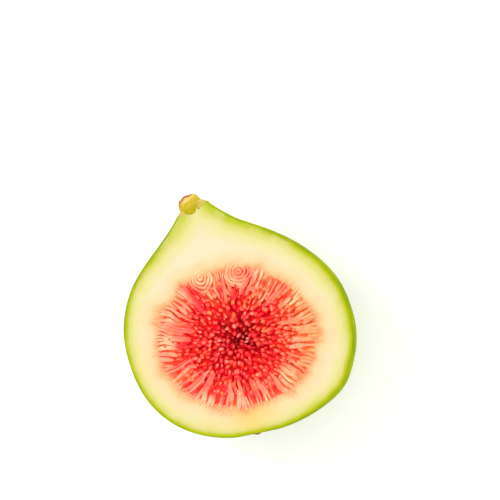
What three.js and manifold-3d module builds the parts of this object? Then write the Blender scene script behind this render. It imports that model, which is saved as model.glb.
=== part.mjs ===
import * as THREE from "three";
import { mergeVertices } from "three/addons/utils/BufferGeometryUtils.js";
import Module from "manifold-3d";

// One half of a ripe green fig, cut lengthwise and lying on its round back with the cut face up.
// The fruit is drawn round its growth axis, +Y, from the eye at y = 0 to the stem.
// The knife passed a little in front of that axis, so this half keeps the whole eye and the whole stem stub.
// The colours of the cut face are one node each: green skin, cream flesh, red pulp, tan stem and brown eye.
// Lengths are millimetres.

// The fruit's outline
const BODY_RADIUS = 27.1;
const BELLY_Y = 23.5;
const NECK_RADIUS = 3.6;
const NECK_Y = 56.5;
const FRUIT_TOP_Y = 56.4;
const EYE_END_ROUNDNESS = 2.2;
const SHOULDER_DROP = 2.5;
const NECK_SWEEP = 1.5;
const BELLY_LEAN = 4;
const RIB_COUNT = 7;
const RIB_SHARE = 0.008;
const RIB_TURN = 0.6;

// The cut, the flat it rests on, and the layers
const KNIFE_Z = 3;
const REST_FLAT_DEPTH = 0.6;
const FLOOR_Z = REST_FLAT_DEPTH - BODY_RADIUS;
const SKIN_THICKNESS = 0.9;
const GAP = 0.3;

// The pulp and its florets
const PULP_RADII = new THREE.Vector3(20.3, 17.3, 18);
const PULP_CENTRE = new THREE.Vector3(3.5, 24, 0);
const PULP_TURN = THREE.MathUtils.degToRad(13);
const BED_SHARES = [0, 0.35, 0.6, 0.78, 1.05];
const BED_DEPTHS = [3.2, 2.7, 1.6, 0.75, 0.55];
const RING_COUNT = 42;
const RING_TIP_SHARE = 0.64;
const RING_LEAN = THREE.MathUtils.degToRad(84);
const HEAD_COUNT = 118;
const HEAD_SHARE = 0.66;
const HEAD_STAND = 1.5;
const HEAD_LEAN = THREE.MathUtils.degToRad(68);
const FLORET_LENGTH = 8;
const RING_FLORET_RADIUS = 0.84;
const HEAD_FLORET_RADIUS = 0.96;
const FLORET_SIDES = 5;

// The neck's rim leans with the stem stub, which also rises towards the cut side
const NECK_X = -0.8;
const NECK_RIM_Y = 55.3;
const NECK_TILT = THREE.MathUtils.degToRad(12);
const FLESH_BELOW_RIM = 1.2;
const STUB_RADIUS = 2.6;
const STUB_FOOT = 0.3;
const STUB_LENGTH = 3.4;
const STUB_RISE = THREE.MathUtils.degToRad(18);
const BRACT_ANGLES = [90, 180, 270];
const BRACT_LENGTH = 3;
const BRACT_HALF_WIDTH = 1.7;
const BRACT_HALF_HEIGHT = 0.75;
const BRACT_DROOP = THREE.MathUtils.degToRad(11);

// The eye
const EYE_X = 1.5;
const EYE_Z = -0.5;
const EYE_RADIUS = 2.3;
const EYE_DEPTH = 0.9;
const EYE_BULGE = 0.5;
const EYE_SCALE_COUNT = 8;
const EYE_SCALE_SLOPE = THREE.MathUtils.degToRad(13);

// How finely the round shapes are divided
const FRUIT_RINGS = 24;
const FRUIT_SIDES = 40;
const PULP_SIDES = 28;
const CUTTER = 200;
const SEED = 7;

const wasm = await Module();
wasm.setup();

// A seeded draw from 0 to 1, so the florets are the same every time.
function seededDraw(seed) {
  let state = seed >>> 0;
  return () => {
    state = (state + 0x6d2b79f5) >>> 0;
    let t = Math.imul(state ^ (state >>> 15), 1 | state);
    t = (t + Math.imul(t ^ (t >>> 7), 61 | t)) ^ t;
    return ((t ^ (t >>> 14)) >>> 0) / 4294967296;
  };
}

// Between three.js geometry and solids that can be cut and joined.
function solidOf(geometry) {
  const bare = new THREE.BufferGeometry();
  bare.setAttribute("position", geometry.getAttribute("position"));
  bare.setIndex(geometry.getIndex());
  const merged = mergeVertices(bare, 1e-4);
  return new wasm.Manifold(
    new wasm.Mesh({
      numProp: 3,
      vertProperties: merged.getAttribute("position").array,
      triVerts: new Uint32Array(merged.getIndex().array),
    }),
  );
}

function geometryOf(solid) {
  const mesh = solid.getMesh();
  const geometry = new THREE.BufferGeometry();
  geometry.setAttribute("position", new THREE.BufferAttribute(mesh.vertProperties, 3));
  geometry.setIndex(new THREE.BufferAttribute(mesh.triVerts, 1));
  geometry.computeVertexNormals();
  return geometry;
}

// Half of the fruit's width at height y: a full round eye end, then a shoulder that sweeps into the neck.
function halfWidth(y) {
  if (y < BELLY_Y) {
    const below = Math.pow((BELLY_Y - y) / BELLY_Y, EYE_END_ROUNDNESS);
    return BODY_RADIUS * Math.pow(1 - below, 1 / EYE_END_ROUNDNESS);
  }
  const above = Math.min(1, (y - BELLY_Y) / (NECK_Y - BELLY_Y));
  const shoulder = Math.pow(1 - Math.pow(above, SHOULDER_DROP), NECK_SWEEP);
  return NECK_RADIUS + (BODY_RADIUS - NECK_RADIUS) * shoulder;
}

// The belly hangs to one side of the line from the eye to the stem.
function midLine(y) {
  return BELLY_LEAN * (1 - Math.pow(y / FRUIT_TOP_Y, 2));
}

// The outline's points, from the eye to the top, moved inwards by inset along the outline's own normal.
function outline(inset, topY) {
  const heights = [];
  for (let i = 0; i <= FRUIT_RINGS; i++) {
    heights.push(FRUIT_TOP_Y * Math.pow(i / FRUIT_RINGS, 1.6));
  }
  const step = 0.01;
  const points = [new THREE.Vector2(0, inset)];
  for (const y of heights.slice(1)) {
    const slope = (halfWidth(y + step) - halfWidth(y - step)) / (2 * step);
    const normal = new THREE.Vector2(1, -slope).normalize();
    points.push(new THREE.Vector2(halfWidth(y), y).addScaledVector(normal, -inset));
  }
  const last = points.at(-1);
  points.push(new THREE.Vector2(last.x, topY));
  points.push(new THREE.Vector2(0, topY));
  return points.filter((p) => p.y <= topY);
}

// Turns a lathe shape into the fruit's: ribs run from eye to neck, and the belly leans.
function growAsFruit(geometry) {
  const position = geometry.getAttribute("position");
  for (let i = 0; i < position.count; i++) {
    const [x, y, z] = [position.getX(i), position.getY(i), position.getZ(i)];
    const along = THREE.MathUtils.clamp(y / FRUIT_TOP_Y, 0, 1);
    const rib = Math.cos(RIB_COUNT * Math.atan2(z, x) + RIB_TURN);
    const swell = 1 + RIB_SHARE * rib * Math.sin(Math.PI * along);
    position.setXYZ(i, x * swell + midLine(y), y, z * swell);
  }
  return geometry;
}

// A box that holds everything between two heights.
function slab(lowZ, highZ) {
  const box = new THREE.BoxGeometry(CUTTER, CUTTER, highZ - lowZ);
  return solidOf(box.translate(0, 0, (lowZ + highZ) / 2));
}

// The fruit's shape with a layer of the given thickness taken off all round, also off the flat it rests on.
function fruitInside(inset, topY, highZ) {
  const round = solidOf(growAsFruit(new THREE.LatheGeometry(outline(inset, topY), FRUIT_SIDES)));
  return round.intersect(slab(FLOOR_Z + inset, highZ));
}

// The hollow that the florets grow into, made larger or smaller by grow.
function pulpEnvelope(grow) {
  const ball = new THREE.SphereGeometry(1, PULP_SIDES, PULP_SIDES / 2);
  ball.rotateX(Math.PI / 2);
  ball.scale(PULP_RADII.x + grow, PULP_RADII.y + grow, PULP_RADII.z + grow);
  ball.rotateZ(-PULP_TURN);
  return solidOf(ball.translate(PULP_CENTRE.x, PULP_CENTRE.y, PULP_CENTRE.z));
}

// From the neck's own frame, where y = 0 is the plane of its rim, to the fruit's.
function onNeck(geometry) {
  geometry.rotateZ(NECK_TILT);
  return geometry.translate(NECK_X, NECK_RIM_Y, 0);
}

// Everything above a height in the neck's frame.
function aboveNeck(height) {
  const box = new THREE.BoxGeometry(CUTTER, CUTTER, CUTTER);
  return solidOf(onNeck(box.translate(0, height + CUTTER / 2, 0)));
}

function skinLayer() {
  const outside = fruitInside(0, FRUIT_TOP_Y, KNIFE_Z);
  const inside = fruitInside(SKIN_THICKNESS, FRUIT_TOP_Y + 1, KNIFE_Z + 1);
  return outside.subtract(inside).subtract(aboveNeck(0)).subtract(eyePlug(GAP, 0));
}

function fleshLayer() {
  const whole = fruitInside(SKIN_THICKNESS + GAP, FRUIT_TOP_Y, KNIFE_Z);
  return whole.subtract(aboveNeck(-FLESH_BELOW_RIM)).subtract(pulpEnvelope(0));
}

// How far the bed that the florets stand in lies below the cut, at a share of the way from centre to wall.
function bedDepth(share) {
  const next = BED_SHARES.findIndex((known) => known >= share);
  if (next < 1) return BED_DEPTHS[0];
  const part = (share - BED_SHARES[next - 1]) / (BED_SHARES[next] - BED_SHARES[next - 1]);
  return THREE.MathUtils.lerp(BED_DEPTHS[next - 1], BED_DEPTHS[next], part);
}

function pulpBed() {
  const profile = BED_SHARES.map((share, i) => new THREE.Vector2(share, -BED_DEPTHS[i]));
  profile.push(new THREE.Vector2(BED_SHARES.at(-1), 1));
  profile.push(new THREE.Vector2(0, 1));
  const dish = new THREE.LatheGeometry(profile, PULP_SIDES);
  dish.rotateX(Math.PI / 2);
  dish.scale(PULP_RADII.x, PULP_RADII.y, 1);
  dish.rotateZ(-PULP_TURN);
  return pulpRoom().subtract(solidOf(dish.translate(PULP_CENTRE.x, PULP_CENTRE.y, KNIFE_Z)));
}

function pulpRoom() {
  return pulpEnvelope(-GAP).intersect(slab(FLOOR_Z, KNIFE_Z));
}

// One floret: a stalk with a rounded tip. Its tip is a share of the way from the centre to the wall, at a depth
// below the cut, and it leans in towards the centre from upright.
function floret(share, angle, depth, lean, radius) {
  const profile = [
    [0, -FLORET_LENGTH],
    [radius, -FLORET_LENGTH],
    [radius, -radius * 0.9],
    [radius * 0.6, -radius * 0.15],
    [0, 0],
  ].map(([r, y]) => new THREE.Vector2(r, y));
  const shape = new THREE.LatheGeometry(profile, FLORET_SIDES);
  shape.rotateX(Math.PI / 2);
  shape.rotateY(-lean);
  shape.rotateZ(angle);
  const x = PULP_RADII.x * share * Math.cos(angle);
  const y = PULP_RADII.y * share * Math.sin(angle);
  shape.translate(x, y, 0).rotateZ(-PULP_TURN);
  return solidOf(shape.translate(PULP_CENTRE.x, PULP_CENTRE.y, KNIFE_Z - depth));
}

// Cut florets lie in a ring along the wall, and the tips of the others crowd the middle in a sunflower spiral.
function pulpMass() {
  const draw = seededDraw(SEED);
  const goldenAngle = Math.PI * (3 - Math.sqrt(5));
  let mass = pulpBed();
  for (let i = 0; i < RING_COUNT; i++) {
    const angle = (2 * Math.PI * (i + 0.35 * draw())) / RING_COUNT;
    const share = RING_TIP_SHARE + 0.14 * draw();
    const radius = RING_FLORET_RADIUS * (0.9 + 0.2 * draw());
    mass = mass.add(floret(share, angle, radius * 0.5, RING_LEAN, radius));
  }
  for (let i = 0; i < HEAD_COUNT; i++) {
    const share = HEAD_SHARE * Math.sqrt((i + 0.5) / HEAD_COUNT) * (0.96 + 0.08 * draw());
    const angle = i * goldenAngle + 0.15 * draw();
    const depth = bedDepth(share) - HEAD_STAND * (0.75 + 0.4 * draw());
    const radius = HEAD_FLORET_RADIUS * (0.85 + 0.3 * draw());
    mass = mass.add(floret(share, angle, depth, HEAD_LEAN * (share / HEAD_SHARE), radius));
  }
  return mass.intersect(pulpRoom());
}

// The stub is a short barrel with a rounded foot. Dry bracts clasp it just above the neck's rim.
function stemStub() {
  const profile = [
    [0, -STUB_FOOT],
    [STUB_RADIUS * 0.7, -STUB_FOOT],
    [STUB_RADIUS * 0.98, 0.4],
    [STUB_RADIUS * 1.05, 1.2],
    [STUB_RADIUS * 0.96, 2.2],
    [STUB_RADIUS * 0.92, STUB_LENGTH - 0.5],
    [STUB_RADIUS * 0.76, STUB_LENGTH],
    [STUB_RADIUS * 0.55, STUB_LENGTH - 0.3],
    [0, STUB_LENGTH - 0.4],
  ].map(([radius, y]) => new THREE.Vector2(radius, y));
  const barrel = new THREE.LatheGeometry(profile, 16).rotateX(STUB_RISE);
  let stem = solidOf(onNeck(barrel));
  for (const angle of BRACT_ANGLES) {
    const bract = new THREE.ConeGeometry(1, BRACT_LENGTH, 7).translate(0, BRACT_LENGTH / 2, 0);
    bract.scale(BRACT_HALF_WIDTH, 1, BRACT_HALF_HEIGHT);
    bract.rotateX(Math.PI / 2 + BRACT_DROOP);
    bract.translate(0, GAP + BRACT_HALF_HEIGHT + 0.1, 1.4);
    stem = stem.add(solidOf(onNeck(bract.rotateY(THREE.MathUtils.degToRad(angle)))));
  }
  return stem;
}

// The eye at the other end: dry scales that close the opening of the fruit. The skin has a hole for them.
function eyePlug(grow, bulge) {
  const profile = [
    [0, -grow - bulge],
    [EYE_RADIUS * 0.55, -grow - bulge * 0.85],
    [EYE_RADIUS + grow, -grow],
    [EYE_RADIUS + grow, EYE_DEPTH + grow],
    [0, EYE_DEPTH + grow],
  ].map(([radius, y]) => new THREE.Vector2(radius, y));
  return solidOf(new THREE.LatheGeometry(profile, 18).translate(EYE_X, 0, EYE_Z));
}

// A dry scale: a small pointed leaf shape.
function dryScale(width, length, thickness) {
  const shape = new THREE.Shape();
  shape.moveTo(-width / 2, 0);
  shape.quadraticCurveTo(-width / 2, length * 0.6, 0, length);
  shape.quadraticCurveTo(width / 2, length * 0.6, width / 2, 0);
  shape.closePath();
  const options = { depth: thickness, bevelEnabled: false, curveSegments: 4 };
  return new THREE.ExtrudeGeometry(shape, options).translate(0, 0, -thickness / 2);
}

function eyeScales() {
  let eye = eyePlug(0, EYE_BULGE).subtract(fruitInside(SKIN_THICKNESS, FRUIT_TOP_Y, KNIFE_Z));
  for (let i = 0; i < EYE_SCALE_COUNT; i++) {
    const scale = dryScale(1.9, 2.2, 0.6);
    scale.rotateX(EYE_SCALE_SLOPE);
    scale.translate(0, -EYE_RADIUS + 0.1, 0.1 + 0.15 * (i % 2));
    scale.rotateZ((2 * Math.PI * i) / EYE_SCALE_COUNT);
    scale.rotateX(Math.PI / 2);
    eye = eye.add(solidOf(scale.translate(EYE_X, 0, EYE_Z)));
  }
  return eye;
}

function subPart(name, solid, color, roughness) {
  const mesh = new THREE.Mesh(
    geometryOf(solid),
    new THREE.MeshStandardMaterial({ color, roughness, metalness: 0 }),
  );
  mesh.name = name;
  return mesh;
}

const fig = new THREE.Group();
fig.add(
  subPart("skin", skinLayer(), 0x9bb913, 0.45),
  subPart("flesh", fleshLayer(), 0xf8ecc0, 0.5),
  subPart("pulp", pulpMass(), 0xd93a38, 0.3),
  subPart("stem", stemStub(), 0xd9b755, 0.7),
  subPart("eye", eyeScales(), 0x9a6a3a, 0.8),
);

// The origin is the middle of the small flat on the back, straight below the widest ring.
fig.position.set(-midLine(BELLY_Y), -BELLY_Y, -FLOOR_Z);

export default fig;
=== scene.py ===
# %% [markdown]
# Half of a ripe green fig, cut lengthwise, lies on its round back with the cut face up.
# The packed CAD model gives five layers at their real size: skin, flesh, pulp, stem and eye.
# This lesson dresses each of them with a finer mesh and a node material, in the same frame.
# A cut fruit is all soft borders: green runs into cream and cream into red. So most colours here
# come from distances that are stored on the mesh, and not from one flat colour for each layer.

# %% Load the frame
import math

import bmesh
import bpy
import numpy as np
from mathutils import Matrix, Vector


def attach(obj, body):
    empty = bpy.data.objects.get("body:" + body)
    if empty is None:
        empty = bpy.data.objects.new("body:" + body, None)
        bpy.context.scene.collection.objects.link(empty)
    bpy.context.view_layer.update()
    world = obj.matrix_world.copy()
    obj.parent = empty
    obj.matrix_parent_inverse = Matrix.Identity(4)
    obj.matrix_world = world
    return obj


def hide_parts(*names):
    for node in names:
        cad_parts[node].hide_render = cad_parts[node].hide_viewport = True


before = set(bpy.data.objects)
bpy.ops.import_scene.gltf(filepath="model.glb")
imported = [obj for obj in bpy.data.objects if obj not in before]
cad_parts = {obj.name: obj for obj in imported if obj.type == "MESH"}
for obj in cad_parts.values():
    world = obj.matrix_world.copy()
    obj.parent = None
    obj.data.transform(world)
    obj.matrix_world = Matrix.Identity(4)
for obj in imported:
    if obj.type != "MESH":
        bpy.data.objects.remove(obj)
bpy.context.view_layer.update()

# %% [markdown]
# The fruit is drawn round its growth axis. y runs from the eye, at 0, to the stem, x runs across the
# cut face and z out of it. These sizes are the ones that the CAD solids were made from, in millimetres.
# The frame's origin is under the belly, so a fruit point is moved and scaled only once, on its way
# into a mesh.

# %% The fruit's own sizes and the way into the frame
MM = 0.001
BODY_RADIUS = 27.1
BELLY_Y = 23.5
NECK_RADIUS = 3.6
NECK_Y = 56.5
TOP_Y = 56.4
EYE_END_ROUNDNESS = 2.2
SHOULDER_DROP = 2.5
NECK_SWEEP = 1.5
BELLY_LEAN = 4.0
RIB_COUNT = 7
RIB_SHARE = 0.008
RIB_TURN = 0.6
KNIFE_Z = 3.0
FLOOR_Z = 0.6 - BODY_RADIUS
SKIN_THICKNESS = 0.9


def half_width(y):
    """Half of the fruit's width at height y: round at the eye, then a shoulder and the neck."""
    y = np.asarray(y, float)
    below = np.clip((BELLY_Y - y) / BELLY_Y, 0, 1) ** EYE_END_ROUNDNESS
    above = np.clip((y - BELLY_Y) / (NECK_Y - BELLY_Y), 0, 1) ** SHOULDER_DROP
    round_end = BODY_RADIUS * (1 - below) ** (1 / EYE_END_ROUNDNESS)
    shoulder = NECK_RADIUS + (BODY_RADIUS - NECK_RADIUS) * (1 - above) ** NECK_SWEEP
    return np.where(y < BELLY_Y, round_end, shoulder)


def mid_line(y):
    """The belly hangs to one side of the line from the eye to the stem."""
    return BELLY_LEAN * (1 - (y / TOP_Y) ** 2)


FRUIT_ORIGIN = np.array([-float(mid_line(BELLY_Y)), -BELLY_Y, -FLOOR_Z])


def to_frame(points):
    """Fruit millimetres to the frame's metres."""
    return (np.asarray(points, float) + FRUIT_ORIGIN) * MM


print("fruit origin in the frame, mm:", FRUIT_ORIGIN.round(2))

# %% [markdown]
# Each layer is the same shape, a little further in. So one function makes them all: it moves the
# outline inwards along its own normal, turns it round the axis, and ends every turn on the knife's
# plane. The rings end on the cut by calculation, not by a boolean, so the cut edge is one clean line
# of vertices that the skin and the flesh can share. The photo's outline also has soft bends of its own:
# a full shoulder, a hollow beside the neck, a full lower right side, and a neck that comes forward to
# the cut. They are bumps and smooth steps on top of the plain outline.

# %% Sizes of the soft bends, the neck and the dimple
NECK_X = -0.8
NECK_RIM_Y = 55.3
NECK_TILT = math.radians(12)
NECK_STARTS_Y = 47.0
SHOULDER_SWELL = 0.5
SHOULDER_Y = 43.0
SHOULDER_SPREAD = 5.0
NECK_HOLLOW = 0.6
NECK_HOLLOW_Y = 50.5
NECK_HOLLOW_SPREAD = 2.6
LOW_SWELL = 1.1
LOW_SWELL_Y = 5.0
LOW_SWELL_SPREAD = 4.0
NECK_FORWARD = 3.0
NECK_BACK_FOLLOWS = 0.4
NECK_TURNS_Y = 40.0
NECK_SHIFT = 1.1
NECK_THINNING = 0.55
SKIN_THINS_Y = 34.0
SKIN_THINNEST_Y = 52.4
EYE_X = 1.5
EYE_Z = -0.5
DIMPLE_DEPTH = 1.2
DIMPLE_RADIUS = 2.9
DIMPLE_FADE = 4


def bump(y, middle, spread):
    """1 at the middle, and soft towards 0 on both sides of it."""
    return np.exp(-((y - middle) / spread) ** 2)


def rise(y, start, end):
    """0 before start and 1 past end, with a smooth step between them."""
    t = np.clip((y - start) / (end - start), 0, 1)
    return t * t * (3 - 2 * t)


print("the neck comes forward by half at y =", (NECK_TURNS_Y + TOP_Y) / 2)

# %% A layer of the fruit as a grid of points
RINGS_BELOW_KNIFE = 10
RINGS = 150
TURNS = 150
OUTLINE_STEPS = 4000
SETTLING_ROUNDS = 10


def layer_outline(inset):
    """Heights and radii of the outline, moved inwards by inset along its normal."""
    y = TOP_Y * np.linspace(0, 1, OUTLINE_STEPS)[1:] ** 2
    step = 1e-4
    slope = (half_width(y + step) - half_width(y - step)) / (2 * step)
    length = np.hypot(1, slope)
    radius = half_width(y) - inset / length
    height = y + inset * slope / length
    keep = (radius > 0) & (height > inset)
    return np.r_[inset, height[keep]], np.r_[0, radius[keep]]


def layer_grid(inset, below_rim=0.0):
    """Points of one layer: rings from the eye to the neck, and turns from cut edge to cut edge."""
    heights, radii = layer_outline(inset)
    full_heights, full_radii = layer_outline(0)
    run = np.r_[0, np.cumsum(np.hypot(np.diff(heights), np.diff(radii)))]
    at_knife = run[np.argmax(radii >= KNIFE_Z)]
    at_top = np.interp(TOP_Y, heights, run)
    stops = np.r_[
        np.linspace(0, at_knife, RINGS_BELOW_KNIFE, endpoint=False),
        np.linspace(at_knife, at_top, RINGS + 1),
    ]
    ring_y = np.interp(stops, run, heights)[:, None]
    part = np.linspace(0, 1, TURNS + 1)[None, :]
    y = np.repeat(ring_y, TURNS + 1, axis=1)
    radius = np.interp(y, heights, radii)
    moved, swung = (1 + NECK_BACK_FOLLOWS) / 2, (1 - NECK_BACK_FOLLOWS) / 2
    for _ in range(SETTLING_ROUNDS):
        front = NECK_FORWARD * rise(y, NECK_TURNS_Y, TOP_Y)
        above_middle = (KNIFE_Z - moved * front) / np.maximum(radius + swung * front, 1e-6)
        cut_turn = np.arcsin(np.clip(above_middle, 0, 1))
        right, left = cut_turn[:, :1], cut_turn[:, -1:]
        turn = right - part * (math.pi + right + left)
        rib = RIB_SHARE * np.cos(RIB_COUNT * turn + RIB_TURN)
        along = np.sin(math.pi * np.clip(y / TOP_Y, 0, 1))
        thinned = NECK_THINNING * rise(y, SKIN_THINS_Y, SKIN_THINNEST_Y)
        full_radius = np.interp(y, full_heights, full_radii)
        radius = np.interp(y, heights, radii) * (1 - thinned) + full_radius * thinned
        radius = radius * (1 + rib * along)
        radius = radius + SHOULDER_SWELL * bump(y, SHOULDER_Y, SHOULDER_SPREAD)
        rightwards = 0.5 + 0.5 * np.cos(turn)
        radius = radius - NECK_HOLLOW * bump(y, NECK_HOLLOW_Y, NECK_HOLLOW_SPREAD) * rightwards
        radius = radius + LOW_SWELL * bump(y, LOW_SWELL_Y, LOW_SWELL_SPREAD) * rightwards
        x = mid_line(y) + NECK_SHIFT * rise(y, NECK_TURNS_Y, TOP_Y) + radius * np.cos(turn)
        rim_y = NECK_RIM_Y - below_rim + math.tan(NECK_TILT) * (x - NECK_X)
        stretch = (rim_y - NECK_STARTS_Y) / (TOP_Y - NECK_STARTS_Y)
        y = np.where(ring_y > NECK_STARTS_Y, NECK_STARTS_Y + (ring_y - NECK_STARTS_Y) * stretch, ring_y)
    z = radius * np.sin(turn) + front * (moved + swung * np.sin(turn))
    z = np.maximum(z, FLOOR_Z + inset)
    near_eye = np.exp(-((x - EYE_X) ** 2 + (z - EYE_Z) ** 2) / DIMPLE_RADIUS ** 2)
    y = y + DIMPLE_DEPTH * near_eye * np.clip(1 - y / BELLY_Y, 0, 1) ** DIMPLE_FADE
    points = np.stack([x, y, z], axis=2)
    low_end = points[RINGS_BELOW_KNIFE]
    low_end[[0, -1]] = (low_end[[0, -1], 0].mean(), low_end[0, 1], KNIFE_Z)
    return points, turn


outer, outer_turn = layer_grid(0)
print("outer skin grid:", outer.shape[:2], "rings and turns")

# %% [markdown]
# Meshes are put together from such grids: sheets of four-sided faces, stitched along the lines that
# they share. Merging the doubled vertices closes the seams, and then Blender can turn every face
# outwards, because the sheets enclose one body. The edges left open are counted and printed.

# %% Helpers that turn grids into a closed mesh
SHARP_ANGLE = math.radians(50)


class Sheets:
    """Collects grids of points and the faces between them, with numbers stored for each point."""

    def __init__(self):
        self.points = []
        self.faces = []
        self.values = {}
        self.count = 0

    def add_points(self, points, **values):
        flat = np.asarray(points, float).reshape(-1, 3)
        index = np.arange(self.count, self.count + len(flat))
        self.points.append(flat)
        self.count += len(flat)
        for name, value in values.items():
            filled = np.broadcast_to(value, np.shape(points)[:-1]).reshape(-1)
            self.values.setdefault(name, []).append(filled)
        return index.reshape(np.shape(points)[:-1])

    def skin_over(self, rows):
        """Faces between the neighbouring rows of a grid of point numbers."""
        a, b, c, d = rows[:-1, :-1], rows[:-1, 1:], rows[1:, 1:], rows[1:, :-1]
        self.faces.extend(np.stack([a, b, c, d], axis=2).reshape(-1, 4).tolist())

    def build(self, name, merge=1e-7):
        mesh = bpy.data.meshes.new(name)
        mesh.from_pydata(to_frame(np.concatenate(self.points)).tolist(), [], self.faces)
        for value, parts in self.values.items():
            layer = mesh.attributes.new(value, "FLOAT", "POINT")
            layer.data.foreach_set("value", np.concatenate(parts).astype(np.float32))
        shape = bmesh.new()
        shape.from_mesh(mesh)
        bmesh.ops.remove_doubles(shape, verts=shape.verts, dist=merge)
        bmesh.ops.dissolve_degenerate(shape, edges=shape.edges, dist=merge)
        bmesh.ops.recalc_face_normals(shape, faces=shape.faces)
        open_edges = sum(edge.is_boundary for edge in shape.edges)
        shape.to_mesh(mesh)
        shape.free()
        mesh.shade_smooth()
        mesh.set_sharp_from_angle(angle=SHARP_ANGLE)
        piece = bpy.data.objects.new(name, mesh)
        bpy.context.scene.collection.objects.link(piece)
        print(name, "has", len(mesh.polygons), "faces and", open_edges, "open edges")
        return piece


def rim_of(grid):
    """The cut edge of a layer: up the right side from the eye to the neck, and down the left side."""
    first = RINGS_BELOW_KNIFE
    return grid[first:, 0], grid[first:, -1]


def distance_to(points, line):
    """Distance across the cut face from each point to a line of points, in millimetres."""
    flat = points.reshape(-1, points.shape[-1])[:, :2]
    nearest = np.full(len(flat), np.inf)
    for spot in line[:, :2]:
        nearest = np.minimum(nearest, np.hypot(*(flat - spot).T))
    return nearest.reshape(points.shape[:-1])


print("edges turn sharp from", round(math.degrees(SHARP_ANGLE)), "degrees")

# %% [markdown]
# Node materials need a lot of small nodes. This helper adds a node, sets or links its inputs, and
# gives back its output, so that a material reads like a few lines of arithmetic.

# %% Colours as the eye names them
def srgb(red, green, blue):
    """A colour as an eye or a screen names it, 0 to 255, made linear."""
    def linear(value):
        value = value / 255
        return value / 12.92 if value <= 0.04045 else ((value + 0.055) / 1.055) ** 2.4

    return (linear(red), linear(green), linear(blue), 1.0)


print("a middle grey of 128 is", round(srgb(128, 128, 128)[0], 3), "of the light")

# %% A helper for node trees
class NodeBench:
    """Adds nodes to a tree and links them."""

    def __init__(self, tree):
        self.tree = tree

    def add(self, kind, inputs=None, output=0, **settings):
        node = self.tree.nodes.new(kind)
        for name, value in settings.items():
            setattr(node, name, value)
        for name, value in (inputs or {}).items():
            socket = node.inputs[name]
            if isinstance(value, bpy.types.NodeSocket):
                self.tree.links.new(value, socket)
            else:
                socket.default_value = value
        return node.outputs[output]

    def math(self, operation, a, b=0.0, clamp=False):
        return self.add("ShaderNodeMath", {0: a, 1: b}, operation=operation, use_clamp=clamp)

    def remap(self, value, low, high, to_low=0.0, to_high=1.0, smooth=True):
        inputs = {"Value": value, "From Min": low, "From Max": high, "To Min": to_low, "To Max": to_high}
        kind = "SMOOTHSTEP" if smooth else "LINEAR"
        return self.add("ShaderNodeMapRange", inputs, interpolation_type=kind)

    def mix(self, share, a, b):
        """Colour a at share 0, colour b at share 1."""
        node = self.tree.nodes.new("ShaderNodeMix")
        node.data_type = "RGBA"
        for index, value in ((0, share), (6, a), (7, b)):
            if isinstance(value, bpy.types.NodeSocket):
                self.tree.links.new(value, node.inputs[index])
            else:
                node.inputs[index].default_value = value
        return node.outputs[2]

    def ramp(self, value, stops):
        """A colour that runs through the stops, a list of (value, colour)."""
        node = self.tree.nodes.new("ShaderNodeValToRGB")
        elements = node.color_ramp.elements
        while len(elements) < len(stops):
            elements.new(0.5)
        for element, (place, colour) in zip(elements, stops):
            element.position = place
            element.color = colour
        self.tree.links.new(value, node.inputs["Fac"])
        return node.outputs["Color"]

    def noise(self, vector, scale, detail=2.0, roughness=0.5, distortion=0.0):
        inputs = {"Vector": vector, "Scale": scale, "Detail": detail, "Roughness": roughness,
                  "Distortion": distortion}
        return self.add("ShaderNodeTexNoise", inputs)

    def stored(self, name):
        return self.add("ShaderNodeAttribute", output=2, attribute_name=name)


print("the bench adds", [name for name in vars(NodeBench) if not name.startswith("_")])

# %% Helpers for a material
def new_material(name):
    """A material with an empty Principled surface, and the bench to work on it."""
    finish = bpy.data.materials.new(name)
    finish.use_nodes = True
    bench = NodeBench(finish.node_tree)
    surface = finish.node_tree.nodes["Principled BSDF"]
    return finish, bench, surface


def connect(bench, surface, **sockets):
    """Sets or links sockets of the Principled surface, with _ for a blank in a socket's name."""
    for name, value in sockets.items():
        socket = surface.inputs[name.replace("_", " ")]
        if isinstance(value, bpy.types.NodeSocket):
            bench.tree.links.new(value, socket)
        else:
            socket.default_value = value


def dress(piece, finish):
    """Gives a piece its material."""
    piece.data.materials.append(finish)
    print(piece.name, "wears", finish.name, "with", len(finish.node_tree.nodes), "nodes")


# %% [markdown]
# The cut border first, because two pieces share it. From the outside in, the photo shows a green line
# about a millimetre wide, then yellow-green that fades to cream over another millimetre or two. The
# fade is nearly twice as wide on the neck, and a little wider on the right shoulder. Each point of the
# skin and the flesh stores its distance from the outline, counted slower there, and both materials read
# the same colours from it.

# %% The border's stored distance and its colours
FADE_FULL = 7.2
NECK_WIDENING = 0.8
NECK_WIDENS_Y = 36.0
NECK_WIDEST_Y = 52.0
SHOULDER_WIDENING = 0.2
SHOULDER_WIDEST_Y = 32.0
SHOULDER_WIDE_SPREAD = 10.0
right_rim, left_rim = rim_of(outer)
OUTLINE = np.concatenate([right_rim, left_rim[::-1]])


def border_value(points):
    """Distance from the outline, as a share of FADE_FULL, counted slower where the fade is wide."""
    x, y = points[..., 0], points[..., 1]
    up_neck = np.clip((y - NECK_WIDENS_Y) / (NECK_WIDEST_Y - NECK_WIDENS_Y), 0, 1)
    on_shoulder = bump(y, SHOULDER_WIDEST_Y, SHOULDER_WIDE_SPREAD) * rise(x, 0, 10)
    slower = 1 + NECK_WIDENING * up_neck ** 2 + SHOULDER_WIDENING * on_shoulder
    return np.clip(distance_to(points, OUTLINE) / slower / FADE_FULL, 0, 1)


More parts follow.
